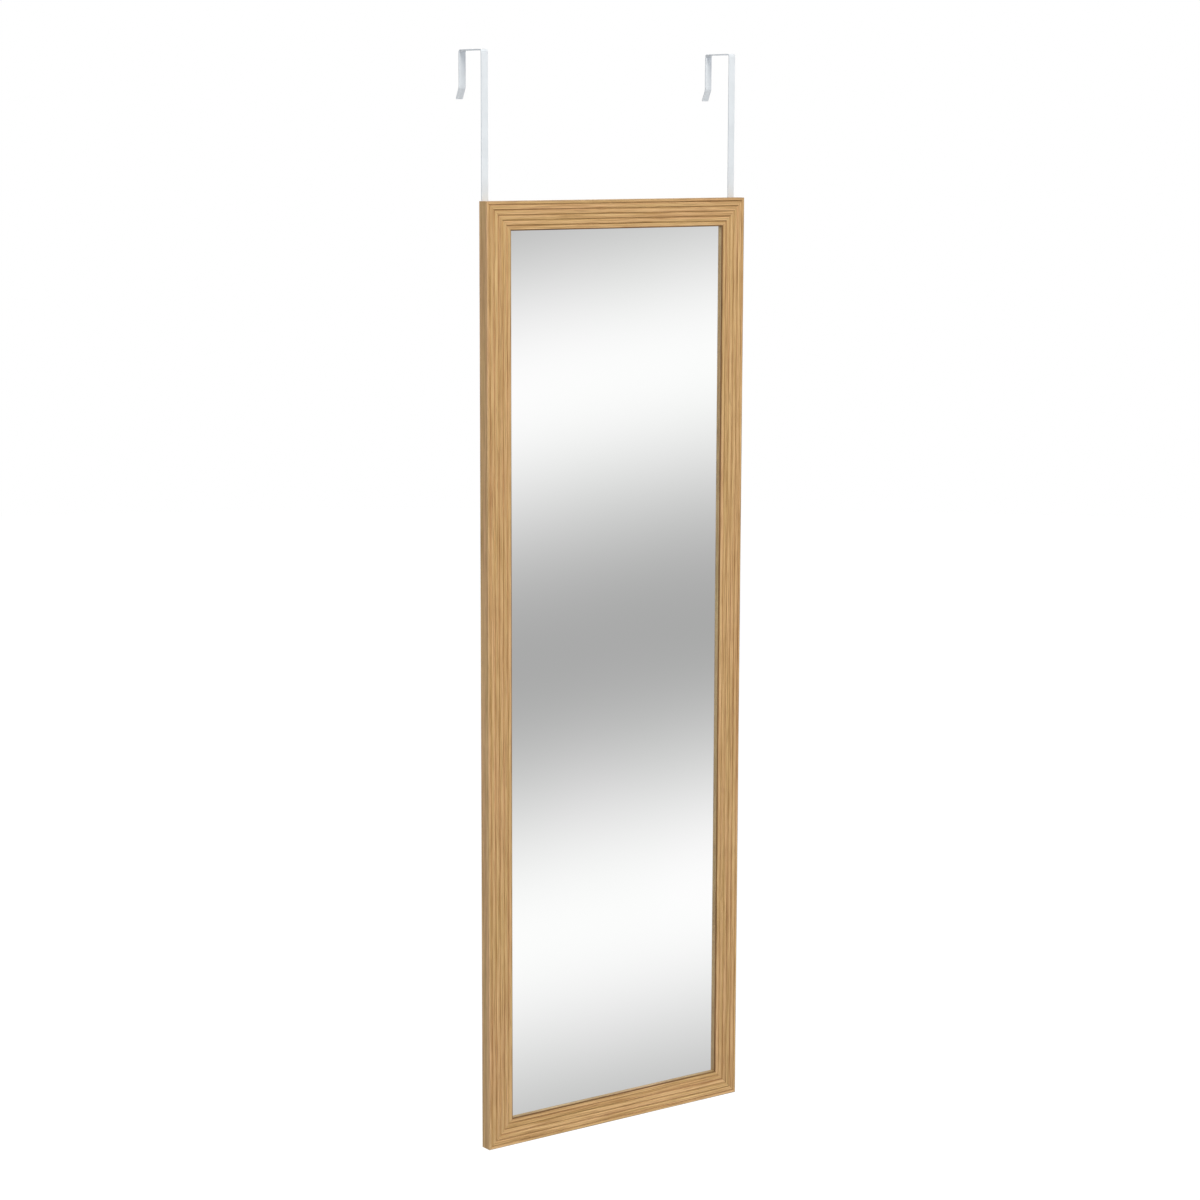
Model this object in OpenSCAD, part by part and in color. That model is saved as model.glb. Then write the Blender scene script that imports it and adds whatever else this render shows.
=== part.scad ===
// Over the door mirror: a narrow grooved frame with two flat strip hooks.
// Millimetres. The mirror faces -Y, +Z is up, and +X is to the right seen from the front.
// The origin is on the top edge of the door, midway between the hooks and midway through the door.

/* [Frame] */
// Width of the frame over its outer sides
frame_w = 305; // [240:5:420]
// Height of the frame over its outer ends
frame_h = 915; // [600:5:1300]
// Thickness of the moulding from face to back
frame_t = 13; // [12:0.5:22]
// Width of the moulding's face, from the outer side to the sight edge
face_w = 27.5; // [27:0.5:45]
// Radius of the outer arris
arris_r = 0.8; // [0.4:0.1:1.5]
// Radius of the sight edge
sight_r = 1.2; // [0.3:0.1:1.5]

/* [Grooves] */
// Number of grooves along the face
groove_count = 5; // [2:1:5]
// Distance from the outer side to the middle of the first groove
first_groove = 3.2; // [2.7:0.05:3.5]
// Distance from one groove to the next
groove_pitch = 4.85; // [3.5:0.05:5.2]
// Width of a groove, which is half round
groove_w = 1.5; // [0.8:0.1:2.2]

/* [Rebate and sheets] */
// Thickness of the lip in front of the glass
lip_t = 3.5; // [3:0.5:4.5]
// Width of the rebate behind the lip
rebate_w = 7; // [5:0.5:9]
// Play of the sheets in the rebate, on each side
sheet_play = 0.8; // [0.4:0.1:1.5]
// Thickness of the glass
glass_t = 3; // [2:0.5:4]
// Thickness of the backing board
board_t = 3; // [2:0.5:3.5]
// Depth of the backing board below the back of the frame
board_set = 0.1; // [0.1:0.1:0.4]

/* [Corner wedges] */
// Length of each leg of a wedge
wedge_leg = 3.5; // [2.5:0.5:4]
// Thickness of the wedge steel
wedge_gauge = 0.6; // [0.4:0.1:0.8]
// Depth that a wedge is pressed in
wedge_depth = 8; // [5:1:9]
// Distance of the outer wedge from both outer sides
wedge_first = 7; // [6:0.5:8]
// Distance from the outer wedge to the inner one, along X and along Z
wedge_step = 7.5; // [6:0.5:8]

/* [Turn buttons] */
// Distance from a button's pivot to the centre of its tip
button_reach = 18; // [16:0.5:24]
// Radius of a button round its pivot
button_r = 5; // [4:0.5:6]
// Radius of a button's tip
button_tip_r = 3.5; // [2.5:0.5:4]
// Thickness of a button
button_t = 1; // [0.8:0.1:1.5]
// Distance from a pivot to the edge of the rebate
button_setback = 8; // [7:0.5:9]
// Distance from the ends of the frame to the outer buttons on a stile
button_end = 150; // [110:5:200]
// Free space under a button and over it
button_gap = 0.1; // [0.1:0.05:0.3]
// Radial clearance of a button on its screw
pivot_play = 0.08; // [0.05:0.01:0.1]

/* [Screws] */
// Diameter of a screw's shank
screw_d = 3; // [2.5:0.1:3.5]
// Diameter of a screw's head
head_d = 5.8; // [5:0.1:7]
// Height of a screw's head
head_h = 1.7; // [1.4:0.1:1.8]
// Length of a turn button's screw under its head
button_screw_l = 10; // [8:0.5:10.5]
// Length of a hook's screw under its head
hook_screw_l = 10; // [8:0.5:10.5]
// Radial clearance of a shank in the wood and in a hook
shank_play = 0.05; // [0.05:0.01:0.2]
// Width of the slots in a screw's head
slot_w = 0.8; // [0.5:0.1:1]
// Depth of the slots in a screw's head
slot_depth = 0.9; // [0.5:0.1:1]

/* [Hooks] */
// Free space between the strap in front of the door and the leg behind it
door_gap = 36; // [30:1:60]
// Width of the strip steel
strip_w = 7.5; // [7:0.5:9]
// Thickness of the strip steel
strip_t = 1.2; // [0.8:0.1:1.6]
// Distance from the frame's outer side to the strip
strip_inset = 3; // [2:0.5:6]
// Height of the door's top edge above the top of the frame
hook_rise = 138; // [90:1:220]
// Length of the strip behind the frame
hook_tail = 58; // [50:1:80]
// Distance from the top of the frame to the upper screw
hook_hole_first = 20; // [16:1:22]
// Distance between the two screws of a hook
hook_hole_step = 25; // [18:1:28]
// Inner radius of the bends at the door's top edge
bend_r = 1.5; // [0.8:0.1:2.5]
// Straight length of the leg behind the door
leg_l = 32; // [20:1:60]
// Angle of the flared tip
flare_angle = 25; // [10:1:40]
// Inner radius of the bend above the tip
flare_r = 6; // [3:0.5:10]
// Length of the flared tip
flare_l = 10.5; // [8:0.5:24]

/* [Door pads] */
// Diameter of a pad
pad_d = 18; // [14:0.5:20]
// Thickness of a pad
pad_t = 3.2; // [3.2:0.1:5]
// Distance from a pad to the outer sides of the frame
pad_edge = 4; // [3:0.5:6]

/* [Hidden] */

$fn = 48;
// Overshoot of a cutting shape past the surface that it cuts
cut = 1;
// Straight steps in a bend of the strip
bend_steps = 8;
// Straight steps in an end of a turn button
button_steps = 20;

oak = [0.75, 0.59, 0.41];
steel = [0.72, 0.73, 0.74];
white = [0.9, 0.91, 0.92];

back_y = -door_gap / 2 - strip_t;
face_y = back_y - frame_t;
top_z = -hook_rise;
bottom_z = top_z - frame_h;
middle_z = (top_z + bottom_z) / 2;

// Width of the moulding's back, from the outer side to the rebate
back_w = face_w - rebate_w;
sheet_w = frame_w - 2 * back_w - 2 * sheet_play;
sheet_h = frame_h - 2 * back_w - 2 * sheet_play;
glass_y = face_y + lip_t;
board_y = back_y - board_set - board_t;
card_t = board_y - glass_y - glass_t;

// Pivots of the turn buttons: X, Z and the turn that points a button inwards
pivot_x = frame_w / 2 - back_w + button_setback;
pivot_zs = [top_z - button_end, middle_z, bottom_z + button_end];
rail_pivot = back_w - button_setback;
pivots = concat(
    [for (z = pivot_zs) [-pivot_x, z, 0]],
    [for (z = pivot_zs) [pivot_x, z, 180]],
    [[0, top_z - rail_pivot, 90], [0, bottom_z + rail_pivot, -90]]
);
button_seat = button_gap * 2 + button_t;

strip_x = frame_w / 2 - strip_inset - strip_w / 2;
hook_hole_zs = [top_z - hook_hole_first, top_z - hook_hole_first - hook_hole_step];
hook_holes = [for (x = [-strip_x, strip_x], z = hook_hole_zs) [x, z]];

pad_x = frame_w / 2 - pad_edge - pad_d / 2;
pad_z = bottom_z + pad_edge + pad_d / 2;

// ---- shapes used by several pieces ----

// Points of an arc round centre c, from angle a to angle b
function arc(c, r, a, b, steps = bend_steps) = [
    for (i = [0 : steps]) let (t = a + (b - a) * i / steps) c + r * [cos(t), sin(t)]
];

// Puts a shape drawn in X and Y at (x, z) on the plane at depth y, with its height going to +Y
module upright(x, y, z) {
    translate([x, y, z]) rotate([-90, 0, 0]) children();
}

// Turns a shape made for the lower left corner to the corner on these sides
module flip(x_side, z_side) {
    mirror([max(x_side, 0), 0, 0]) mirror([0, 0, max(z_side, 0)]) children();
}

// A rounded edge: what is cut off a square corner at the origin
module edge_cut(r) {
    difference() {
        translate([-cut, -cut]) square(r + cut);
        translate([r, r]) circle(r);
    }
}

// Section of the moulding: X from the outer side inwards, Y from the face to the back
module moulding_section() {
    difference() {
        square([face_w, frame_t]);
        translate([back_w, lip_t]) square([rebate_w + cut, frame_t]);
        for (i = [0 : groove_count - 1])
            translate([first_groove + i * groove_pitch, 0]) circle(d = groove_w, $fn = 24);
        edge_cut(arris_r);
        translate([face_w, 0]) mirror([1, 0]) edge_cut(sight_r);
    }
}

// A member along +Z from the corner at the origin, with both ends mitred
module mitred_member(length) {
    low = -cut;
    high = face_w + cut;
    intersection() {
        linear_extrude(length) moulding_section();
        translate([0, frame_t + cut, 0]) rotate([90, 0, 0]) linear_extrude(frame_t + 2 * cut)
            polygon([[low, low], [high, high], [high, length - high], [low, length - low]]);
    }
}

module pilot_holes(places, seat, length) {
    depth = length - seat + cut;
    for (p = places)
        upright(p[0], back_y - depth, p[1])
            cylinder(d = screw_d + 2 * shank_play, h = depth + cut);
}

// Shank and domed head of a screw, with the underside of its head at the origin and pointing to +Y
module screw(length) {
    dome_r = head_d * 0.9;
    point_l = screw_d;
    rotate([-90, 0, 0]) {
        difference() {
            intersection() {
                cylinder(d = head_d, h = head_h);
                translate([0, 0, head_h - dome_r]) sphere(dome_r);
            }
            for (turn = [0, 90])
                rotate(turn) translate([-head_d * 0.3, -slot_w / 2, head_h - slot_depth])
                    cube([head_d * 0.6, slot_w, slot_depth + cut]);
        }
        translate([0, 0, point_l - length]) cylinder(d = screw_d, h = length - point_l);
        translate([0, 0, -length]) cylinder(d1 = screw_d * 0.2, d2 = screw_d, h = point_l);
    }
}

// ---- frame ----

// One V of steel, its point towards the outer corner at the origin, with the mitre along X = Z
module wedge(place) {
    reach = wedge_leg;
    g = wedge_gauge;
    upright(place, -wedge_depth, place)
        linear_extrude(wedge_depth)
            polygon([[0, 0], [reach, 0], [reach, -g], [g, -g], [g, -reach], [0, -reach]]);
}

module corner_wedge_pair(x_side, z_side) {
    translate([x_side * frame_w / 2, back_y, middle_z + z_side * frame_h / 2])
        flip(x_side, z_side)
            for (i = [0, 1]) wedge(wedge_first + i * wedge_step);
}

module corner_wedges() {
    color(steel)
        for (x_side = [-1, 1], z_side = [-1, 1]) corner_wedge_pair(x_side, z_side);
}

module stile(side) {
    places = [for (p = pivots) if (p[0] * side > 0) p];
    color(oak)
        difference() {
            translate([side * frame_w / 2, face_y, bottom_z]) flip(side, -1) mitred_member(frame_h);
            for (z_side = [-1, 1]) corner_wedge_pair(side, z_side);
            pilot_holes(places, button_seat, button_screw_l);
            pilot_holes([for (p = hook_holes) if (p[0] * side > 0) p], strip_t, hook_screw_l);
        }
}

module stile_left() {
    stile(-1);
}

module stile_right() {
    stile(1);
}

module rail(side) {
    places = [for (p = pivots) if (p[0] == 0 && (p[1] - middle_z) * side > 0) p];
    color(oak)
        difference() {
            translate([-frame_w / 2, face_y, middle_z + side * frame_h / 2])
                flip(-1, side) mirror([1, 0, -1]) mitred_member(frame_w);
            for (x_side = [-1, 1]) corner_wedge_pair(x_side, side);
            pilot_holes(places, button_seat, button_screw_l);
        }
}

module rail_top() {
    rail(1);
}

module rail_bottom() {
    rail(-1);
}

// ---- sheets in the rebate ----

module sheet(y, thickness) {
    translate([-sheet_w / 2, y, middle_z - sheet_h / 2]) cube([sheet_w, thickness, sheet_h]);
}

module mirror_glass() {
    color([0.78, 0.8, 0.81]) sheet(glass_y, glass_t);
}

module packing_card() {
    color([0.72, 0.56, 0.38]) sheet(glass_y + glass_t, card_t);
}

module backing_board() {
    color([0.48, 0.34, 0.22]) sheet(board_y, board_t);
}

// ---- turn buttons ----

// Outline of a button: a large and a small arc, joined by the lines that touch both
module button_outline() {
    lean = acos((button_r - button_tip_r) / button_reach);
    polygon(concat(
        arc([0, 0], button_r, lean, 360 - lean, button_steps),
        arc([button_reach, 0], button_tip_r, -lean, lean, button_steps)
    ));
}

module turn_button(i) {
    p = pivots[i];
    color(steel)
        translate([p[0], back_y + button_gap, p[1]]) rotate([0, p[2], 0]) rotate([-90, 0, 0])
            difference() {
                linear_extrude(button_t) button_outline();
                translate([0, 0, -cut]) cylinder(d = screw_d + 2 * pivot_play, h = button_t + 2 * cut);
            }
}

module button_screws() {
    color(steel)
        for (p = pivots) translate([p[0], back_y + button_seat, p[1]]) screw(button_screw_l);
}

// ---- hooks ----

// Side view of a hook's strip, X to the back of the door and Y up
module strip_outline() {
    outer_r = bend_r + strip_t;
    front = [-door_gap / 2 + bend_r, -bend_r];
    rear = [door_gap / 2 - bend_r, -bend_r];
    flare = [door_gap / 2 + strip_t + flare_r, -leg_l];
    tip_way = flare_l * [sin(flare_angle), -cos(flare_angle)];
    tip_end = 180 + flare_angle;
    outside = arc(flare, flare_r, 180, tip_end);
    inside = arc(flare, flare_r + strip_t, tip_end, 180);
    low = -hook_rise - hook_tail + strip_w / 2;
    polygon(concat(
        [[back_y, low]],
        arc(front, outer_r, 180, 90), arc(rear, outer_r, 90, 0),
        outside, [outside[bend_steps] + tip_way, inside[0] + tip_way], inside,
        arc(rear, bend_r, 0, 90), arc(front, bend_r, 90, 180),
        [[back_y + strip_t, low]]
    ));
}

module hook(side) {
    x = side * strip_x;
    hole_d = screw_d + 2 * shank_play;
    color(white)
        difference() {
            union() {
                translate([x - strip_w / 2, 0, 0]) rotate([90, 0, 90])
                    linear_extrude(strip_w) strip_outline();
                upright(x, back_y, top_z - hook_tail + strip_w / 2) cylinder(d = strip_w, h = strip_t);
            }
            for (z = hook_hole_zs)
                upright(x, back_y - cut, z) cylinder(d = hole_d, h = strip_t + 2 * cut);
        }
}

module hook_left() {
    hook(-1);
}

module hook_right() {
    hook(1);
}

module hook_screws() {
    color(steel)
        for (p = hook_holes) translate([p[0], back_y + strip_t, p[1]]) screw(hook_screw_l);
}

// ---- pads that keep the frame off the door ----

module door_pad(side) {
    color([0.55, 0.53, 0.5]) upright(side * pad_x, back_y, pad_z) cylinder(d = pad_d, h = pad_t);
}

module door_pad_left() {
    door_pad(-1);
}

module door_pad_right() {
    door_pad(1);
}

stile_left();
stile_right();
rail_top();
rail_bottom();
corner_wedges();
mirror_glass();
packing_card();
backing_board();
turn_button(0);  // turn_button_1
turn_button(1);  // turn_button_2
turn_button(2);  // turn_button_3
turn_button(3);  // turn_button_4
turn_button(4);  // turn_button_5
turn_button(5);  // turn_button_6
turn_button(6);  // turn_button_7
turn_button(7);  // turn_button_8
button_screws();
hook_left();
hook_right();
hook_screws();
door_pad_left();
door_pad_right();
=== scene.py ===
import math
import random

import bmesh
import bpy
from mathutils import Matrix, Vector


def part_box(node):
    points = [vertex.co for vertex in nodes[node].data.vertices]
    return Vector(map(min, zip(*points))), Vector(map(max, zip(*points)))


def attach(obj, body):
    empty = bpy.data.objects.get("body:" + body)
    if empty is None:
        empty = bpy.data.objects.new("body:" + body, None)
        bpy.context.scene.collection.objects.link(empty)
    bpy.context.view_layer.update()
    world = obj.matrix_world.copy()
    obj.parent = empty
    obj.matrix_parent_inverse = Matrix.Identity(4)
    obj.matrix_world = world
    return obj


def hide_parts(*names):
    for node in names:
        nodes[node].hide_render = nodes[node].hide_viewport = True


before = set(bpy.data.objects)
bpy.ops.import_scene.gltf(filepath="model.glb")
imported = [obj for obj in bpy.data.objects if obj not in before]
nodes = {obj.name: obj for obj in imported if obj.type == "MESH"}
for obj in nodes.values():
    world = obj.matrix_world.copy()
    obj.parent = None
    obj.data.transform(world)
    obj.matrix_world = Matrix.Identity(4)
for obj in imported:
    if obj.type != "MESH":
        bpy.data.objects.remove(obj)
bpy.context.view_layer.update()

mm = 0.001
near = 1e-6            # metres: closer points lie at one place
sameLength = 1e-5      # metres: lengths that differ by less are equal
sameVertex = 1e-7      # metres: closer vertices become one
straightOn = 0.99      # a face looks along an axis if its normal has this share of it
rimTurn = 60           # degrees: a rim's faces turn by more
noiseLow, noiseHigh = 0.3, 0.7     # nearly all of a noise lies between these


def hexColour(code):
    # sRGB hex to the linear colour that the nodes take
    parts = [int(code[i:i + 2], 16) / 255 for i in (0, 2, 4)]
    return tuple(c / 12.92 if c <= 0.04045 else ((c + 0.055) / 1.055) ** 2.4 for c in parts) + (1.0,)


def grey(value):
    # A linear grey
    return (value, value, value, 1.0)


def addNode(tree, kind, settings=None, stops=(), **inputs):
    # One node, with its settings, its values and its links. An input goes by its name, or by its number as i0
    # and so on. stops are a colour ramp's places and colours, in hex or linear
    node = tree.nodes.new(kind)
    for number, (place, colour) in enumerate(stops):
        band = node.color_ramp.elements
        stop = band[number] if number < len(band) else band.new(1.0)
        stop.position = place
        stop.color = hexColour(colour) if isinstance(colour, str) else colour
    for name, value in (settings or {}).items():
        setattr(node, name, value)
    for name, value in inputs.items():
        numbered = name[0] == "i" and name[1:].isdigit()
        socket = node.inputs[int(name[1:])] if numbered else node.inputs[name]
        if isinstance(value, bpy.types.NodeSocket):
            tree.links.new(value, socket)
        else:
            socket.default_value = value
    return node


def newMaterial(name):
    material = bpy.data.materials.new(name)
    material.use_nodes = True
    tree = material.node_tree
    return material, tree, tree.nodes["Principled BSDF"]


def link(tree, node, shader, socket):
    tree.links.new(node.outputs[0], shader.inputs[socket])


def finishPiece(bm, name, materials, body, smooth=40, stands=()):
    # Turns a bmesh into a piece that rides on a body, with its place in its mesh. smooth is in degrees
    bmesh.ops.remove_doubles(bm, verts=bm.verts, dist=sameVertex)
    bmesh.ops.recalc_face_normals(bm, faces=bm.faces)
    mesh = bpy.data.meshes.new(name)
    bm.to_mesh(mesh)
    bm.free()
    for material in materials:
        mesh.materials.append(material)
    mesh.shade_smooth()
    mesh.set_sharp_from_angle(angle=math.radians(smooth))
    piece = bpy.data.objects.new(name, mesh)
    bpy.context.scene.collection.objects.link(piece)
    # Keeps the flats flat beside their rounded edges
    flats = piece.modifiers.new("flats", "WEIGHTED_NORMAL")
    flats.mode, flats.weight, flats.keep_sharp = "FACE_AREA", 50, True
    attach(piece, body)
    if stands:
        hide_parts(*stands)
    return piece


def bevelEdges(bm, edges, width, segments):
    bmesh.ops.bevel(bm, geom=edges, offset=width, offset_type="OFFSET", affect="EDGES",
                    segments=segments, profile=0.5, material=-1, clamp_overlap=True)


def rimEdges(bm):
    # The sharp edges round a strip or a plate
    return [e for e in bm.edges if len(e.link_faces) == 2 and e.calc_face_angle(0) > math.radians(rimTurn)]


def extrudeAll(bm, faces, vector):
    # Gives flat faces their thickness
    grown = bmesh.ops.extrude_face_region(bm, geom=faces)["geom"]
    bmesh.ops.translate(bm, vec=vector, verts=[v for v in grown if isinstance(v, bmesh.types.BMVert)])


def spinOutline(bm, outline, steps):
    # Turns half an outline, drawn in X and Y, all the way round the Y axis
    points = [bm.verts.new((x, y, 0)) for x, y in outline]
    edges = [bm.edges.new(pair) for pair in zip(points, points[1:])]
    bmesh.ops.spin(bm, geom=points + edges, cent=(0, 0, 0), axis=(0, 1, 0), angle=math.radians(360),
                   steps=steps, use_merge=True, use_duplicate=False)


# Sizes that the pieces share, in metres, as the solids have them
size = {
    "frameW": 305 * mm, "frameH": 915 * mm, "frameT": 13 * mm, "faceW": 27.5 * mm,
    "backW": 20.5 * mm, "lipT": 3.5 * mm,
    "backY": -19.2 * mm, "topZ": -138 * mm,
    "stripW": 7.5 * mm, "stripT": 1.2 * mm, "stripX": 145.75 * mm,
}
size["faceY"] = size["backY"] - size["frameT"]
size["bottomZ"] = size["topZ"] - size["frameH"]


oak = {
    # Light, middle and dark wood for each part of the moulding
    # The groove set is the face's print made darker: painted shade in the grooves
    "face": ("E5BE88", "D2AA74", "AD844E"), "groove": ("D8B17C", "C59D69", "A27945"),
    # The sight and wall sets are painted shade along the sight edge and on the dimmer, greyer inner wall
    "sight": ("8A673D", "77552D", "5F4321"), "wallShade": ("CBB287", "B79C70", "9A8056"),
    # The arris set paints shade along the outer edges, and a highlight on the left stile's, with its values
    # per piece
    "arris": ("E2BC8C", "CFA97A", "AB8456"), "pore": "8A6137",
    # Each layer of the print: the width and length of its marks, how fine it goes, and where it starts
    "bands": (4 * mm, 400 * mm, 2.0, 3.1),
    "streaks": (0.62 * mm, 50 * mm, 2.0, 17.7),
    "pores": (0.5 * mm, 20 * mm, 1.0, 41.3),       # real pores are 0.2 mm wide, too fine to show
    "drift": (3.2 * mm, 130 * mm, 1.0, 63.9),
    "streakShare": 0.76, "darkAt": 0.355, "middleAt": 0.5, "lightAt": 0.645,
    "poreFrom": 0.56, "poreFull": 0.7, "poreDark": 0.45, "poreDeep": 0.08 * mm,
    "driftLow": 0.35, "driftHigh": 0.65, "redder": 0.495, "yellower": 0.505,
    "dull": 0.46, "shiny": 0.35,
}
# Each length of moulding: is its grain upright, where does it start, and how light each part of it is drawn
pieceGrainAndShade = {
    # The groove, wall and arris values paint shade that differs by side; the grooves are darkest on the top
    # rail
    "stile_leftFoil": (True, 5.0, {"face": 0.9, "groove": 0.98, "arris": 0.95}),
    "stile_rightFoil": (True, 7.3, {"face": 0.91, "groove": 0.93, "wallShade": 0.9, "arris": 0.6}),
    "rail_topFoil": (False, 9.0, {"face": 0.915, "groove": 0.8, "arris": 0.75}),
    "rail_bottomFoil": (False, 12.6, {"face": 1.02, "groove": 0.94, "arris": 0.62}),
}
# The moulding's material slots; bare MDF comes after them
foilParts = ("face", "groove", "sight", "wallShade", "arris")


def oakFoil(name, upright, seed, part, toneWithShade):
    # Paper foil printed with straight oak grain, lacquered satin: fine streaks, no depth, an even sheen
    light, middle, dark = oak[part]
    material, tree, shader = newMaterial(name)
    place = addNode(tree, "ShaderNodeTexCoord").outputs["Object"]

    def grain(layer):
        wide, long, detail, shift = oak[layer]
        across, along = 1 / wide, 1 / long
        scale = (across, across, along) if upright else (along, across, across)
        mapped = addNode(tree, "ShaderNodeMapping", Vector=place, Scale=scale,
                         Location=(seed + shift, seed, shift))
        return addNode(tree, "ShaderNodeTexNoise", {"noise_dimensions": "3D"}, Vector=mapped.outputs[0],
                       Scale=1.0, Detail=detail, Roughness=0.5, Distortion=0.04).outputs["Fac"]

    bands, streaks, pores = grain("bands"), grain("streaks"), grain("pores")
    blend = addNode(tree, "ShaderNodeMix", {"data_type": "FLOAT"}, i0=oak["streakShare"],
                    i2=bands, i3=streaks)
    wood = addNode(tree, "ShaderNodeValToRGB", Fac=blend.outputs[0],
                   stops=[(oak["darkAt"], dark), (oak["middleAt"], middle), (oak["lightAt"], light)])
    poreMask = addNode(tree, "ShaderNodeValToRGB", Fac=pores,
                       stops=[(oak["poreFrom"], grey(0)), (oak["poreFull"], grey(oak["poreDark"]))])
    pored = addNode(tree, "ShaderNodeMix", {"data_type": "RGBA"}, i0=poreMask.outputs[0],
                    i6=wood.outputs[0], i7=hexColour(oak["pore"])).outputs[2]
    # The print drifts between a yellower and a redder oak, as veneer does
    drift = addNode(tree, "ShaderNodeMapRange", i0=grain("drift"), i1=oak["driftLow"], i2=oak["driftHigh"],
                    i3=oak["redder"], i4=oak["yellower"])
    # The part's tone scales the print's lightness; for the groove, sight, wall and arris parts it paints
    # shade, on the left arris a highlight
    link(tree, addNode(tree, "ShaderNodeHueSaturation", Hue=drift.outputs[0], Value=toneWithShade, Color=pored),
         shader, "Base Color")
    link(tree, addNode(tree, "ShaderNodeMapRange", i0=streaks, i1=noiseLow, i2=noiseHigh,
                       i3=oak["dull"], i4=oak["shiny"]), shader, "Roughness")
    link(tree, addNode(tree, "ShaderNodeBump", Strength=0.25, Distance=oak["poreDeep"], Height=pores),
         shader, "Normal")
    shader.inputs["IOR"].default_value = 1.5
    shader.inputs["Specular IOR Level"].default_value = 0.42
    return material


# What each fine pattern measures. Where a note gives a real size, the real pattern is too fine to show in the
# render, so it is drawn as coarse as it needs to show
pattern = {
    "mdfFibre": 1.1 * mm,       # real fibres are 0.3 mm
    "mdfCloud": 17 * mm,
    "silverCloud": 170 * mm,
    "paintCloud": 12.5 * mm,
    "orangePeel": 0.9 * mm,     # real orange peel is 0.5 mm
    "coatCloud": 22 * mm,
    "zincCloud": 2.9 * mm,
    "zincScuff": 0.4 * mm,      # real scuffs are 0.1 mm
    "boardFibre": 2.4 * mm,     # real fibres are 1 mm
    "boardCloud": 55 * mm,
    "boardMesh": 1.6 * mm,      # the real wire mesh is 1 mm
    "cardFibre": 1.4 * mm,      # real fibres are 1 mm
    "cardFlute": 7.9 * mm,
    "rubberGrain": 0.42 * mm,   # the real grain is 0.1 mm
    "rubberCloud": 8.3 * mm,
}
# How much the clouds count beside the fibres, the mesh beside the fibres, and scuffs in the zinc's roughness
share = {"mdfCloud": 0.35, "boardCloud": 0.4, "boardMesh": 0.35, "zincShiny": 0.08, "zincDull": 0.1}


def rawMdf():
    # Medium density fibreboard, sawn and bare: even brown felted fibre, quite matt
    material, tree, shader = newMaterial("bareMdf")
    place = addNode(tree, "ShaderNodeTexCoord").outputs["Object"]
    fibre = addNode(tree, "ShaderNodeTexNoise", Vector=place, Scale=1 / pattern["mdfFibre"],
                    Detail=6.0, Roughness=0.7).outputs["Fac"]
    cloud = addNode(tree, "ShaderNodeTexNoise", Vector=place, Scale=1 / pattern["mdfCloud"],
                    Detail=3.0).outputs["Fac"]
    both = addNode(tree, "ShaderNodeMix", {"data_type": "FLOAT"}, i0=share["mdfCloud"], i2=fibre, i3=cloud)
    link(tree, addNode(tree, "ShaderNodeValToRGB", Fac=both.outputs[0],
                       stops=[(0.32, "8A6A48"), (0.5, "A5835C"), (0.68, "B89870")]), shader, "Base Color")
    link(tree, addNode(tree, "ShaderNodeBump", Strength=0.5, Distance=0.2 * mm, Height=fibre),
         shader, "Normal")
    shader.inputs["Roughness"].default_value = 0.85
    shader.inputs["Specular IOR Level"].default_value = 0.25
    return material


def silveredGlass():
    # Float glass with wet silver on its back: a bright neutral reflection under a hard clear surface
    material, tree, shader = newMaterial("silveredGlass")
    place = addNode(tree, "ShaderNodeTexCoord").outputs["Object"]
    cloud = addNode(tree, "ShaderNodeTexNoise", Vector=place, Scale=1 / pattern["silverCloud"],
                    Detail=1.0).outputs["Fac"]
    link(tree, addNode(tree, "ShaderNodeValToRGB", Fac=cloud,
                       stops=[(noiseLow, "FBFCFB"), (noiseHigh, "FDFDFD")]), shader, "Base Color")
    shader.inputs["Metallic"].default_value = 1.0
    shader.inputs["Roughness"].default_value = 0.0
    return material


def mirrorPaint():
    # Grey paint rolled on over the silver, even and satin. The ground edges of the glass take its colour too
    material, tree, shader = newMaterial("mirrorBackPaint")
    place = addNode(tree, "ShaderNodeTexCoord").outputs["Object"]
    cloud = addNode(tree, "ShaderNodeTexNoise", Vector=place, Scale=1 / pattern["paintCloud"],
                    Detail=3.0).outputs["Fac"]
    link(tree, addNode(tree, "ShaderNodeValToRGB", Fac=cloud,
                       stops=[(noiseLow, "6E7878"), (noiseHigh, "7B8584")]), shader, "Base Color")
    shader.inputs["Roughness"].default_value = 0.5
    return material


def powderCoat():
    # White powder coat baked on steel: bright, satin, with a fine orange peel
    material, tree, shader = newMaterial("whitePowderCoat")
    place = addNode(tree, "ShaderNodeTexCoord").outputs["Object"]
    peel = addNode(tree, "ShaderNodeTexNoise", Vector=place, Scale=1 / pattern["orangePeel"],
                   Detail=2.0).outputs["Fac"]
    cloud = addNode(tree, "ShaderNodeTexNoise", Vector=place, Scale=1 / pattern["coatCloud"],
                    Detail=2.0).outputs["Fac"]
    link(tree, addNode(tree, "ShaderNodeValToRGB", Fac=cloud,
                       stops=[(noiseLow, "D8DEE4"), (noiseHigh, "DEE4EA")]), shader, "Base Color")
    link(tree, addNode(tree, "ShaderNodeMapRange", i0=peel, i1=noiseLow, i2=noiseHigh, i3=0.3, i4=0.4),
         shader, "Roughness")
    link(tree, addNode(tree, "ShaderNodeBump", Strength=0.15, Distance=0.1 * mm, Height=peel),
         shader, "Normal")
    shader.inputs["IOR"].default_value = 1.5
    return material


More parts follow.
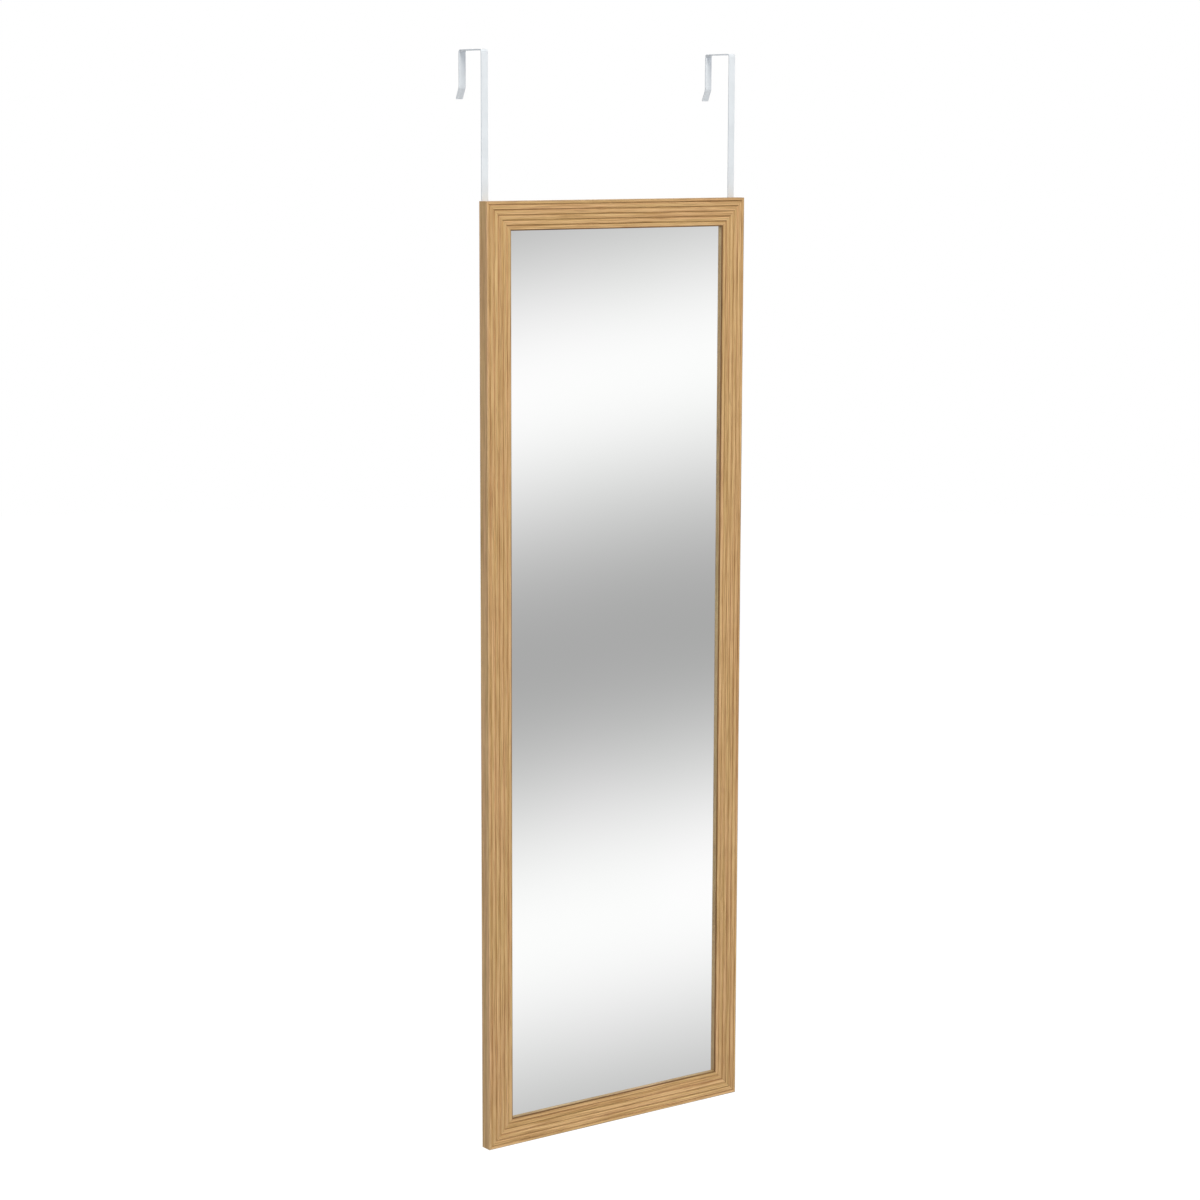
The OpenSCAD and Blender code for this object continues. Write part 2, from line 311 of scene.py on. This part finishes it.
def zincPlate(name, light, dark, roughness):
    # Bright zinc plating on pressed steel: a cool grey metal, cloudy, a little brushed from tumbling
    material, tree, shader = newMaterial(name)
    place = addNode(tree, "ShaderNodeTexCoord").outputs["Object"]
    cloud = addNode(tree, "ShaderNodeTexNoise", Vector=place, Scale=1 / pattern["zincCloud"],
                    Detail=4.0).outputs["Fac"]
    scuff = addNode(tree, "ShaderNodeTexNoise", Vector=place, Scale=1 / pattern["zincScuff"],
                    Detail=3.0, Distortion=1.5).outputs["Fac"]
    link(tree, addNode(tree, "ShaderNodeValToRGB", Fac=cloud, stops=[(noiseLow, dark), (noiseHigh, light)]),
         shader, "Base Color")
    link(tree, addNode(tree, "ShaderNodeMapRange", i0=scuff, i1=noiseLow, i2=noiseHigh,
                       i3=roughness - share["zincShiny"], i4=roughness + share["zincDull"]),
         shader, "Roughness")
    link(tree, addNode(tree, "ShaderNodeBump", Strength=0.12, Distance=0.05 * mm, Height=scuff),
         shader, "Normal")
    shader.inputs["Metallic"].default_value = 1.0
    return material


def hardboard():
    # Wet-pressed hardboard: dark brown fibres, its back printed by the wire mesh it was pressed on
    material, tree, shader = newMaterial("pressedHardboard")
    place = addNode(tree, "ShaderNodeTexCoord").outputs["Object"]
    fibre = addNode(tree, "ShaderNodeTexNoise", Vector=place, Scale=1 / pattern["boardFibre"],
                    Detail=8.0, Roughness=0.72, Distortion=0.8).outputs["Fac"]
    cloud = addNode(tree, "ShaderNodeTexNoise", Vector=place, Scale=1 / pattern["boardCloud"],
                    Detail=4.0).outputs["Fac"]
    both = addNode(tree, "ShaderNodeMix", {"data_type": "FLOAT"}, i0=share["boardCloud"], i2=fibre, i3=cloud)
    link(tree, addNode(tree, "ShaderNodeValToRGB", Fac=both.outputs[0],
                       stops=[(noiseLow, "5B3F28"), (0.5, "76553A"), (noiseHigh, "91704F")]),
         shader, "Base Color")
    # Two crossed waves make the mesh, and the fibres lie over it
    apart = addNode(tree, "ShaderNodeSeparateXYZ", i0=place)
    waves = []
    for axis in ("X", "Z"):
        turned = addNode(tree, "ShaderNodeMath", {"operation": "MULTIPLY"}, i0=apart.outputs[axis],
                         i1=2 * math.pi / pattern["boardMesh"])
        waves.append(addNode(tree, "ShaderNodeMath", {"operation": "SINE"}, i0=turned.outputs[0]).outputs[0])
    mesh = addNode(tree, "ShaderNodeMath", {"operation": "MULTIPLY"}, i0=waves[0], i1=waves[1])
    relief = addNode(tree, "ShaderNodeMath", {"operation": "MULTIPLY_ADD"}, i0=mesh.outputs[0],
                     i1=share["boardMesh"], i2=fibre)
    link(tree, addNode(tree, "ShaderNodeBump", Strength=0.6, Distance=0.3 * mm, Height=relief.outputs[0]),
         shader, "Normal")
    shader.inputs["Roughness"].default_value = 0.72
    shader.inputs["Specular IOR Level"].default_value = 0.35
    return material


def kraftCard():
    # Brown kraft corrugated card: dull, fibrous, with the flutes faintly showing through the liner
    material, tree, shader = newMaterial("kraftCard")
    place = addNode(tree, "ShaderNodeTexCoord").outputs["Object"]
    fibre = addNode(tree, "ShaderNodeTexNoise", Vector=place, Scale=1 / pattern["cardFibre"],
                    Detail=5.0).outputs["Fac"]
    link(tree, addNode(tree, "ShaderNodeValToRGB", Fac=fibre,
                       stops=[(noiseLow, "A98658"), (noiseHigh, "C4A275")]), shader, "Base Color")
    # A wave of scale 1 has 20 radians to the metre
    flute = addNode(tree, "ShaderNodeTexWave", {"bands_direction": "X"}, Vector=place,
                    Scale=2 * math.pi / (20 * pattern["cardFlute"])).outputs["Fac"]
    link(tree, addNode(tree, "ShaderNodeBump", Strength=0.3, Distance=0.3 * mm, Height=flute),
         shader, "Normal")
    shader.inputs["Roughness"].default_value = 0.9
    return material


def mouldedRubber():
    # Grey thermoplastic rubber, moulded with a fine spark-eroded grain: dull and slightly soft-looking
    material, tree, shader = newMaterial("mouldedRubber")
    place = addNode(tree, "ShaderNodeTexCoord").outputs["Object"]
    grain = addNode(tree, "ShaderNodeTexNoise", Vector=place, Scale=1 / pattern["rubberGrain"],
                    Detail=3.0).outputs["Fac"]
    cloud = addNode(tree, "ShaderNodeTexNoise", Vector=place, Scale=1 / pattern["rubberCloud"],
                    Detail=3.0).outputs["Fac"]
    link(tree, addNode(tree, "ShaderNodeValToRGB", Fac=cloud,
                       stops=[(noiseLow, "7C7A76"), (noiseHigh, "8C8A85")]), shader, "Base Color")
    link(tree, addNode(tree, "ShaderNodeBump", Strength=0.3, Distance=0.08 * mm, Height=grain),
         shader, "Normal")
    shader.inputs["Roughness"].default_value = 0.62
    shader.inputs["Specular IOR Level"].default_value = 0.4
    return material


foils = {name: [oakFoil(f"oak_{name}_{part}", upright, seed, part, tonesWithShade.get(part, 1.0))
                for part in foilParts]
         for name, (upright, seed, tonesWithShade) in pieceGrainAndShade.items()}
mdf = rawMdf()
glass = silveredGlass()
glassBack = mirrorPaint()
whitePaint = powderCoat()
zincButton = zincPlate("zincPressing", "C9CCD0", "ABAFB4", 0.34)
zincScrew = zincPlate("zincScrew", "D2D5D9", "B4B8BD", 0.27)
wedgeSteel = zincPlate("bareStripSteel", "A5A6A8", "85868A", 0.42)
board = hardboard()
card = kraftCard()
rubber = mouldedRubber()
print("materials made")


moulding = {
    "grooves": 5, "firstGroove": 3.2 * mm, "pitch": 4.85 * mm, "grooveW": 1.5 * mm, "grooveDeep": 0.95 * mm,
    "arris": 0.8 * mm, "sight": 1.2 * mm, "grooveRound": 0.2 * mm, "lipEase": 0.1 * mm,
    "backEase": 0.25 * mm, "mitreGap": 0.05 * mm, "foilTurn": 5 * mm, "shyBack": 0.05 * mm,
    "arrisSteps": 6, "sightSteps": 5, "grooveSteps": 5, "easeSteps": 2,
    # What tells the faces apart: a face deeper than this isn't the flat face, a mitre looks this much along
    # the moulding, and this share of the sight edge has its own colour
    "sunkFrom": 0.02 * mm, "mitreSlant": 0.3, "sightShare": 0.85,
}


def dressMoulding(bm):
    # Foil on the face, in the grooves and down both sides; bare MDF on the mitres, in the rebate, at the back
    m = moulding
    slots = {part: number for number, part in enumerate(foilParts)}
    for face in bm.faces:
        x, y, z = face.calc_center_median()
        sunk = y > m["sunkFrom"]
        mitre = abs(face.normal.z) > m["mitreSlant"]
        if mitre or (x > m["foilTurn"] and y > size["lipT"] - near):
            face.material_index = len(foilParts)
        # The rounded outer edge takes the arris colours: painted shade, and on the left stile a painted
        # highlight
        elif x < m["arris"] and y < m["arris"]:
            face.material_index = slots["arris"]
        # Most of the sight edge's rounding takes the dark sight colours: painted shade where the frame meets
        # the mirror
        elif x > size["faceW"] - m["sightShare"] * m["sight"] and sunk and y < m["sight"]:
            face.material_index = slots["sight"]
        # The inner wall takes its dimmer colours: painted shade
        elif x > size["faceW"] - near:
            face.material_index = slots["wallShade"]
        # The grooves take the darker groove colours: painted shade
        elif x > m["arris"] and sunk and y < size["lipT"]:
            face.material_index = slots["groove"]


def makeMoulding(name, corner, across, along, length):
    # across points from the outer side inwards; the section is drawn flat, extruded, eased and mitred
    m = moulding
    back = size["frameT"] - m["shyBack"]
    outline = [(0, 0)]
    bottoms, lips = [], []
    for i in range(m["grooves"]):
        middle = m["firstGroove"] + i * m["pitch"]
        lips += [middle - m["grooveW"] / 2, middle + m["grooveW"] / 2]
        bottoms.append(middle)
        outline += [(lips[-2], 0), (middle, m["grooveDeep"]), (lips[-1], 0)]
    outline += [(size["faceW"], 0), (size["faceW"], size["lipT"]), (size["backW"], size["lipT"]),
                (size["backW"], back), (m["foilTurn"], back), (0, back)]
    bm = bmesh.new()
    section = bm.faces.new([bm.verts.new((x, y, 0)) for x, y in outline])
    extrudeAll(bm, [section], (0, 0, length))

    def longEdges(x, y):
        return [e for e in bm.edges if abs(e.verts[0].co.z - e.verts[1].co.z) > length / 2
                and all(abs(v.co.x - x) < near and abs(v.co.y - y) < near for v in e.verts)]

    bevelEdges(bm, longEdges(0, 0), m["arris"], m["arrisSteps"])
    bevelEdges(bm, longEdges(size["faceW"], 0), m["sight"], m["sightSteps"])
    bevelEdges(bm, longEdges(0, back) + longEdges(size["backW"], back), m["backEase"], m["easeSteps"])
    for x in bottoms:
        bevelEdges(bm, longEdges(x, m["grooveDeep"]), m["grooveRound"], m["grooveSteps"])
    for x in lips:
        bevelEdges(bm, longEdges(x, 0), m["lipEase"], m["easeSteps"])
    # Mitres: each plane runs through an outer corner, a hair's breadth inside it
    for z, turn in ((0, -1), (length, 1)):
        bmesh.ops.bisect_plane(bm, geom=bm.verts[:] + bm.edges[:] + bm.faces[:],
                               plane_co=(0, 0, z - turn * m["mitreGap"]), plane_no=(1, 0, turn),
                               clear_outer=True)
        bmesh.ops.holes_fill(bm, edges=[e for e in bm.edges if e.is_boundary])
    dressMoulding(bm)
    columns = Matrix((across, (0, 1, 0), along)).transposed().to_4x4()
    bmesh.ops.transform(bm, matrix=Matrix.Translation(corner) @ columns, verts=bm.verts)
    return finishPiece(bm, name, foils[name] + [mdf], "frame", smooth=32,
                       stands=[name.replace("Foil", "")])


def makeFrame():
    left, right = -size["frameW"] / 2, size["frameW"] / 2
    low, high, face = size["bottomZ"], size["topZ"], size["faceY"]
    makeMoulding("stile_leftFoil", (left, face, low), (1, 0, 0), (0, 0, 1), size["frameH"])
    makeMoulding("stile_rightFoil", (right, face, low), (-1, 0, 0), (0, 0, 1), size["frameH"])
    makeMoulding("rail_topFoil", (left, face, high), (0, 0, -1), (1, 0, 0), size["frameW"])
    makeMoulding("rail_bottomFoil", (left, face, low), (0, 0, 1), (1, 0, 0), size["frameW"])


makeFrame()
print("frame made")


mirror = {"ground": 0.3 * mm}


def makeMirror():
    # One sheet with its edges ground off; only its front is the reflecting face
    low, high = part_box("mirror_glass")
    bm = bmesh.new()
    bmesh.ops.create_cube(bm, size=1)
    bmesh.ops.scale(bm, vec=high - low, verts=bm.verts)
    bmesh.ops.translate(bm, vec=(low + high) / 2, verts=bm.verts)
    bevelEdges(bm, bm.edges[:], mirror["ground"], 1)
    for face in bm.faces:
        face.material_index = 0 if face.normal.y < -straightOn else 1
    return finishPiece(bm, "mirrorSheet", [glass, glassBack], "frame", smooth=20,
                       stands=["mirror_glass"])


makeMirror()
print("mirror made")


hook = {
    "gap": 36 * mm, "bend": 1.5 * mm, "tail": 58 * mm, "leg": 32 * mm,
    "flareTurn": 25, "flareR": 6 * mm, "flareL": 10.5 * mm,
    "edge": 0.28 * mm, "tipCorner": 0.5 * mm,
    "endShare": 0.999, "join": 0.02 * mm,
    "bendSteps": 8, "endSteps": 10, "cornerSteps": 3, "edgeSteps": 2,
}


def makeHook(name, side):
    # The strip's section is carried along the hook's line: up, over the door, down and out at the tip
    h = hook
    t, w = size["stripT"], size["stripW"]
    bm = bmesh.new()
    y = size["backY"]
    low = size["topZ"] - h["tail"]
    section = bm.faces.new([bm.verts.new(p) for p in (
        (-w / 2, y, low), (w / 2, y, low), (w / 2, y + t, low), (-w / 2, y + t, low))])

    def carry(face, vector):
        grown = bmesh.ops.extrude_discrete_faces(bm, faces=[face])["faces"][0]
        bmesh.ops.translate(bm, vec=vector, verts=grown.verts[:])
        return grown

    def bend(face, centre, degrees):
        turn = Matrix.Rotation(math.radians(degrees / h["bendSteps"]), 3, "X")
        for i in range(h["bendSteps"]):
            face = carry(face, (0, 0, 0))
            bmesh.ops.rotate(bm, cent=centre, matrix=turn, verts=face.verts[:])
        return face

    first = bmesh.ops.extrude_face_region(bm, geom=[section])["geom"]
    end = [f for f in first if isinstance(f, bmesh.types.BMFace)][0]
    bmesh.ops.translate(bm, vec=(0, 0, -h["bend"] - low), verts=end.verts[:])
    end = bend(end, (0, -h["gap"] / 2 + h["bend"], -h["bend"]), -90)
    end = carry(end, (0, h["gap"] - 2 * h["bend"], 0))
    end = bend(end, (0, h["gap"] / 2 - h["bend"], -h["bend"]), -90)
    end = carry(end, (0, 0, h["bend"] - h["leg"]))
    end = bend(end, (0, h["gap"] / 2 + t + h["flareR"], -h["leg"]), h["flareTurn"])
    turn = math.radians(h["flareTurn"])
    end = carry(end, (0, h["flareL"] * math.sin(turn), -h["flareL"] * math.cos(turn)))
    bmesh.ops.remove_doubles(bm, verts=bm.verts, dist=sameVertex)

    def throughEdges(face):
        # The two short edges of an end, which run through the strip's thickness
        return {e for v in face.verts for e in v.link_edges if e in face.edges
                and abs(e.calc_length() - t) < sameLength
                and abs(abs(e.verts[0].co.x) - w / 2) < sameLength}

    lowest = [f for f in bm.faces
              if abs(f.normal.z) > straightOn and abs(f.calc_center_median().z - low) < near][0]
    tail, tip = throughEdges(lowest), throughEdges(end)
    # The tail's end is rounded all across. Its two arcs stop just short of each other, and are then joined
    bevelEdges(bm, list(tail), w / 2 * h["endShare"], h["endSteps"])
    bevelEdges(bm, [e for e in tip if e.is_valid], h["tipCorner"], h["cornerSteps"])
    bmesh.ops.remove_doubles(bm, verts=bm.verts, dist=h["join"])
    bevelEdges(bm, rimEdges(bm), h["edge"], h["edgeSteps"])
    bmesh.ops.translate(bm, vec=(side * size["stripX"], 0, 0), verts=bm.verts)
    return finishPiece(bm, name + "Strip", [whitePaint], "frame", smooth=30, stands=[name])


makeHook("hook_left", -1)
makeHook("hook_right", 1)
print("hooks made")


screwSize = {
    "headR": 2.9 * mm, "headH": 1.7 * mm, "shankR": 1.45 * mm, "tip": 3 * mm, "steps": 40,
    # The pan head from its crown to its rim, in shares of its radius and height
    "pan": ((0, 1), (0.45, 0.97), (0.78, 0.78), (0.95, 0.45), (1, 0.12), (0.96, 0)), "blunt": 0.15,
    "wingL": 1.75 * mm, "wingW": 0.5 * mm, "recessDeep": 1.1 * mm, "wingTaper": (0.35, 1, 0.6),
    "seed": 7,
}


def screwMesh(length):
    # Half of the screw's outline, spun: pan head, shank and point, with its head towards +Y
    s = screwSize
    bm = bmesh.new()
    outline = [(s["headR"] * x, s["headH"] * y) for x, y in s["pan"]]
    outline += [(s["shankR"], 0), (s["shankR"], s["tip"] - length),
                (s["shankR"] * s["blunt"], -length), (0, -length)]
    spinOutline(bm, outline, s["steps"])
    bmesh.ops.remove_doubles(bm, verts=bm.verts, dist=near)
    bmesh.ops.recalc_face_normals(bm, faces=bm.faces)
    head = bpy.data.meshes.new("screwBody")
    bm.to_mesh(head)
    bm.free()
    body = bpy.data.objects.new("screwBody", head)
    bpy.context.scene.collection.objects.link(body)
    # The cross recess is cut by two tapered wings, one after the other
    wings = []
    for degrees in (0, 90):
        bm = bmesh.new()
        bmesh.ops.create_cube(bm, size=1)
        bmesh.ops.scale(bm, vec=(s["wingL"] * 2, s["recessDeep"] * 2, s["wingW"] * 2), verts=bm.verts)
        bmesh.ops.scale(bm, vec=s["wingTaper"], verts=[v for v in bm.verts if v.co.y < 0])
        bmesh.ops.translate(bm, vec=(0, s["headH"], 0), verts=bm.verts)
        turn = Matrix.Rotation(math.radians(degrees), 3, "Y")
        bmesh.ops.rotate(bm, cent=(0, 0, 0), matrix=turn, verts=bm.verts)
        mesh = bpy.data.meshes.new("screwRecess")
        bm.to_mesh(mesh)
        bm.free()
        wings.append(bpy.data.objects.new("screwRecess", mesh))
        bpy.context.scene.collection.objects.link(wings[-1])
        cut = body.modifiers.new("recess", "BOOLEAN")
        cut.operation, cut.object, cut.solver = "DIFFERENCE", wings[-1], "EXACT"
    bpy.context.view_layer.update()
    done = bpy.data.meshes.new_from_object(body.evaluated_get(bpy.context.evaluated_depsgraph_get()))
    for o in [body] + wings:
        bpy.data.objects.remove(o)
    return done


def placeScrews(name, length, places, node):
    # Each screw stops where it was driven tight, so no two crosses stand alike
    shape = screwMesh(length)
    turns = random.Random(screwSize["seed"] + len(places))
    bm = bmesh.new()
    for place in places:
        before = len(bm.verts)
        bm.from_mesh(shape)
        bm.verts.ensure_lookup_table()
        made = bm.verts[before:]
        turn = Matrix.Rotation(turns.uniform(0, math.pi), 3, "Y")
        bmesh.ops.rotate(bm, cent=(0, 0, 0), matrix=turn, verts=made)
        bmesh.ops.translate(bm, vec=place, verts=made)
    return finishPiece(bm, name, [zincScrew], "frame", smooth=35, stands=[node])


buttonSize = {
    "reach": 18 * mm, "bigR": 5 * mm, "tipR": 3.5 * mm, "thick": 1 * mm, "gap": 0.1 * mm,
    "holeR": 1.6 * mm, "edge": 0.22 * mm, "setback": 8 * mm, "end": 150 * mm, "screwL": 10 * mm,
    "arcSteps": 28, "holeSteps": 32, "edgeSteps": 2,
}
hookScrew = {"first": 20 * mm, "step": 25 * mm, "length": 10 * mm}


def buttonPlaces():
    # X, Z and turn of each turn button, as the solids have them
    b = buttonSize
    x = size["frameW"] / 2 - size["backW"] + b["setback"]
    middle = (size["topZ"] + size["bottomZ"]) / 2
    heights = (size["topZ"] - b["end"], middle, size["bottomZ"] + b["end"])
    rail = size["backW"] - b["setback"]
    return ([(-x, z, 0) for z in heights] + [(x, z, 180) for z in heights]
            + [(0, size["topZ"] - rail, 90), (0, size["bottomZ"] + rail, -90)])


def makeButton(number, x, z, turn):
    # The outline runs round both ends, is filled about the hole, given its thickness and eased all round
    b = buttonSize
    bm = bmesh.new()
    lean = math.acos((b["bigR"] - b["tipR"]) / b["reach"])
    outline = []
    ends = ((0, b["bigR"], lean, 2 * math.pi - lean), (b["reach"], b["tipR"], -lean, lean))
    for centre, r, start, end in ends:
        angles = [start + (end - start) * i / b["arcSteps"] for i in range(b["arcSteps"] + 1)]
        outline += [bm.verts.new((centre + r * math.cos(a), r * math.sin(a), 0)) for a in angles]
    for pair in zip(outline, outline[1:] + outline[:1]):
        bm.edges.new(pair)
    bmesh.ops.create_circle(bm, segments=b["holeSteps"], radius=b["holeR"])
    bmesh.ops.triangle_fill(bm, use_beauty=True, edges=bm.edges[:])
    extrudeAll(bm, bm.faces[:], (0, 0, b["thick"]))
    bevelEdges(bm, rimEdges(bm), b["edge"], b["edgeSteps"])
    lift = Matrix.Rotation(math.radians(-90), 4, "X")
    swing = Matrix.Rotation(math.radians(turn), 4, "Y")
    place = Matrix.Translation((x, size["backY"] + b["gap"], z))
    bmesh.ops.transform(bm, matrix=place @ swing @ lift, verts=bm.verts)
    return finishPiece(bm, f"button_{number}_plate", [zincButton], f"button_{number}",
                       smooth=35, stands=[f"turn_button_{number}"])


def makeFastenings():
    places = buttonPlaces()
    for i, (x, z, turn) in enumerate(places):
        makeButton(i + 1, x, z, turn)
    seat = size["backY"] + buttonSize["gap"] * 2 + buttonSize["thick"]
    placeScrews("buttonPanScrews", buttonSize["screwL"], [(x, seat, z) for x, z, turn in places],
                "button_screws")
    seat = size["backY"] + size["stripT"]
    heights = [size["topZ"] - hookScrew["first"] - i * hookScrew["step"] for i in (0, 1)]
    placeScrews("hookPanScrews", hookScrew["length"],
                [(side * size["stripX"], seat, z) for side in (-1, 1) for z in heights], "hook_screws")


makeFastenings()
print("buttons and screws made")


bumper = {
    "radius": 9 * mm, "height": 3.2 * mm, "edge": 4 * mm, "round": 0.9 * mm, "dish": 0.3 * mm,
    # The dish has 0.8 of its depth left at 0.45 of the radius, and the flat ring starts at 0.62 of it
    "dishR": 0.45, "dishLeft": 0.8, "landR": 0.62,
    "roundSteps": 4, "steps": 48,
}


def makeBumper(name, side):
    # Half of its outline, spun: a dished face, a flat ring, a rounded edge and a straight side
    b = bumper
    r, h = b["radius"], b["height"]
    outline = [(0, h - b["dish"]), (r * b["dishR"], h - b["dish"] * b["dishLeft"]), (r * b["landR"], h)]
    for i in range(b["roundSteps"] + 1):
        a = math.radians(90 / b["roundSteps"] * i)
        outline.append((r - b["round"] * (1 - math.sin(a)), h - b["round"] * (1 - math.cos(a))))
    outline += [(r, 0), (0, 0)]
    bm = bmesh.new()
    spinOutline(bm, outline, b["steps"])
    x = side * (size["frameW"] / 2 - b["edge"] - r)
    bmesh.ops.translate(bm, vec=(x, size["backY"], size["bottomZ"] + b["edge"] + r), verts=bm.verts)
    return finishPiece(bm, name + "Bumper", [rubber], "frame", smooth=35, stands=[name])


makeBumper("door_pad_left", -1)
makeBumper("door_pad_right", 1)
print("bumpers made")


kept = {"corner_wedges": wedgeSteel, "packing_card": card, "backing_board": board}
for name, material in kept.items():
    mesh = nodes[name].data
    mesh.materials.clear()
    mesh.materials.append(material)
print("kept solids dressed")


studio = {
    "floorZ": -1.98, "floorR": 12.0, "floorSteps": 64, "floorColour": "EDEDEC", "floorRoughness": 0.9,
    # The floor's glow, and its share of the light at two distances from the middle in metres
    "floorGlow": 1.12, "glowNear": (1.2, 0.5), "glowFar": (2.6, 0.85),
    "ambient": 0.42, "ambientColour": "FAFBFF",
    # What the mirror picks up: soft bands across the studio, as from light boxes and dark cards. The levels
    # are those of the screen
    "bandWay": (13.714, -6.186, -37.5), "bandStart": -16.172, "bandMiddle": 0.833, "bandSwing": 0.166,
    "screenGamma": 2.2,
    # Name, place, width in metres, watts, colour, and whether the mirror sees it. The fill and the back lamp
    # light without being seen, because they stand where the mirror or the bare metal looks
    "lamps": (("keyLamp", (-0.65, -2.2, 2.45), 1.5, 86, "FFFBF2", True),
              ("rimLamp", (-2.6, -1.8, 0.2), 1.2, 8, "FFFFFF", True),
              ("fillLamp", (1.3, -2.8, 0.3), 1.6, 12, "FFFFFF", False),
              ("backLamp", (0.5, 2.6, 0.7), 2.0, 60, "FFFFFF", False)),
    "target": (0, 0, -0.55),
}


def makeFloor():
    s = studio
    bm = bmesh.new()
    bmesh.ops.create_circle(bm, cap_ends=True, segments=s["floorSteps"], radius=s["floorR"])
    bmesh.ops.translate(bm, vec=(0, 0, s["floorZ"]), verts=bm.verts)
    mesh = bpy.data.meshes.new("studioFloor")
    bm.to_mesh(mesh)
    bm.free()
    floor = bpy.data.objects.new("studioFloor", mesh)
    bpy.context.scene.collection.objects.link(floor)
    # Pale paper floor: it shows the object's shadow, and glows to the eye, so it meets the white behind it
    material, tree, shader = newMaterial("paperFloor")
    shader.inputs["Base Color"].default_value = hexColour(s["floorColour"])
    shader.inputs["Roughness"].default_value = s["floorRoughness"]
    path = addNode(tree, "ShaderNodeLightPath")
    seen = addNode(tree, "ShaderNodeMath", {"operation": "MAXIMUM"}, i0=path.outputs["Is Camera Ray"],
                   i1=path.outputs["Is Glossy Ray"])
    seen = addNode(tree, "ShaderNodeMath", {"operation": "MAXIMUM"}, i0=seen.outputs[0],
                   i1=path.outputs["Is Transmission Ray"])
    # The glow takes less of the floor's light near the object, where the lamps reach it and its shadow falls
    place = addNode(tree, "ShaderNodeTexCoord").outputs["Object"]
    flat = addNode(tree, "ShaderNodeVectorMath", {"operation": "MULTIPLY"}, i0=place, i1=(1.0, 1.0, 0.0))
    away = addNode(tree, "ShaderNodeVectorMath", {"operation": "LENGTH"}, i0=flat.outputs[0])
    (nearest, least), (farthest, most) = s["glowNear"], s["glowFar"]
    part = addNode(tree, "ShaderNodeMapRange", {"interpolation_type": "SMOOTHSTEP"},
                   i0=away.outputs["Value"], i1=nearest, i2=farthest, i3=least, i4=most)
    part = addNode(tree, "ShaderNodeMath", {"operation": "MULTIPLY"}, i0=seen.outputs[0], i1=part.outputs[0])
    glow = addNode(tree, "ShaderNodeEmission", Strength=s["floorGlow"])
    both = addNode(tree, "ShaderNodeMixShader", i0=part.outputs[0], i1=shader.outputs[0],
                   i2=glow.outputs[0])
    tree.links.new(both.outputs[0], tree.nodes["Material Output"].inputs["Surface"])
    mesh.materials.append(material)
    floor.visible_glossy = False
    floor.visible_transmission = False


def makeWorld():
    # White to the eye, banded to the mirror, and dimmer as a light
    s = studio
    world = bpy.data.worlds.new("studioWorld")
    bpy.context.scene.world = world
    world.use_nodes = True
    tree = world.node_tree
    path = addNode(tree, "ShaderNodeLightPath")
    way = addNode(tree, "ShaderNodeTexCoord").outputs["Generated"]
    along = addNode(tree, "ShaderNodeVectorMath", {"operation": "DOT_PRODUCT"}, i0=way, i1=s["bandWay"])
    turned = addNode(tree, "ShaderNodeMath", {"operation": "ADD"}, i0=along.outputs["Value"],
                     i1=s["bandStart"])
    wave = addNode(tree, "ShaderNodeMath", {"operation": "COSINE"}, i0=turned.outputs[0])
    level = addNode(tree, "ShaderNodeMath", {"operation": "MULTIPLY_ADD"}, i0=wave.outputs[0],
                    i1=s["bandSwing"], i2=s["bandMiddle"])
    linear = addNode(tree, "ShaderNodeMath", {"operation": "POWER"}, i0=level.outputs[0],
                     i1=s["screenGamma"])
    mirrored = addNode(tree, "ShaderNodeMath", {"operation": "MAXIMUM"}, i0=path.outputs["Is Glossy Ray"],
                       i1=path.outputs["Is Transmission Ray"])
    backdrop = addNode(tree, "ShaderNodeMix", {"data_type": "RGBA"}, i0=mirrored.outputs[0],
                       i6=grey(1.0), i7=linear.outputs[0])
    seen = addNode(tree, "ShaderNodeMath", {"operation": "MAXIMUM"}, i0=path.outputs["Is Camera Ray"],
                   i1=mirrored.outputs[0])
    lit = addNode(tree, "ShaderNodeBackground", Color=hexColour(s["ambientColour"]), Strength=s["ambient"])
    shown = addNode(tree, "ShaderNodeBackground", Color=backdrop.outputs[2], Strength=1.0)
    mixed = addNode(tree, "ShaderNodeMixShader", i0=seen.outputs[0], i1=lit.outputs[0], i2=shown.outputs[0])
    out = next(n for n in tree.nodes if n.bl_idname == "ShaderNodeOutputWorld")
    tree.links.new(mixed.outputs[0], out.inputs["Surface"])


def makeLamps():
    for name, place, width, power, colour, mirrored in studio["lamps"]:
        lamp = bpy.data.lights.new(name, "AREA")
        lamp.size = width
        lamp.energy = power
        lamp.color = hexColour(colour)[:3]
        holder = bpy.data.objects.new(name, lamp)
        holder.location = place
        aim = Vector(studio["target"]) - Vector(place)
        holder.rotation_euler = aim.to_track_quat("-Z", "Y").to_euler()
        holder.visible_glossy = holder.visible_transmission = mirrored
        bpy.context.scene.collection.objects.link(holder)


# Where the photograph was taken from: metres, degrees, and the lens for a sensor as wide as a film frame
camera = {
    "place": (-1.70059, -2.33747, -0.06747), "turn": (80.9268, -0.161, -36.0363),
    "lens": 89.326, "sensorW": 36, "nearest": 0.05, "farthest": 60,
}


def makeCamera():
    lens = bpy.data.cameras.new("photoCamera")
    lens.lens, lens.sensor_width = camera["lens"], camera["sensorW"]
    lens.clip_start, lens.clip_end = camera["nearest"], camera["farthest"]
    holder = bpy.data.objects.new("photoCamera", lens)
    holder.location = camera["place"]
    holder.rotation_euler = [math.radians(a) for a in camera["turn"]]
    bpy.context.scene.collection.objects.link(holder)
    bpy.context.scene.camera = holder


makeFloor()
makeWorld()
makeLamps()
makeCamera()
bpy.context.scene.view_settings.view_transform = "Standard"
print("studio made")
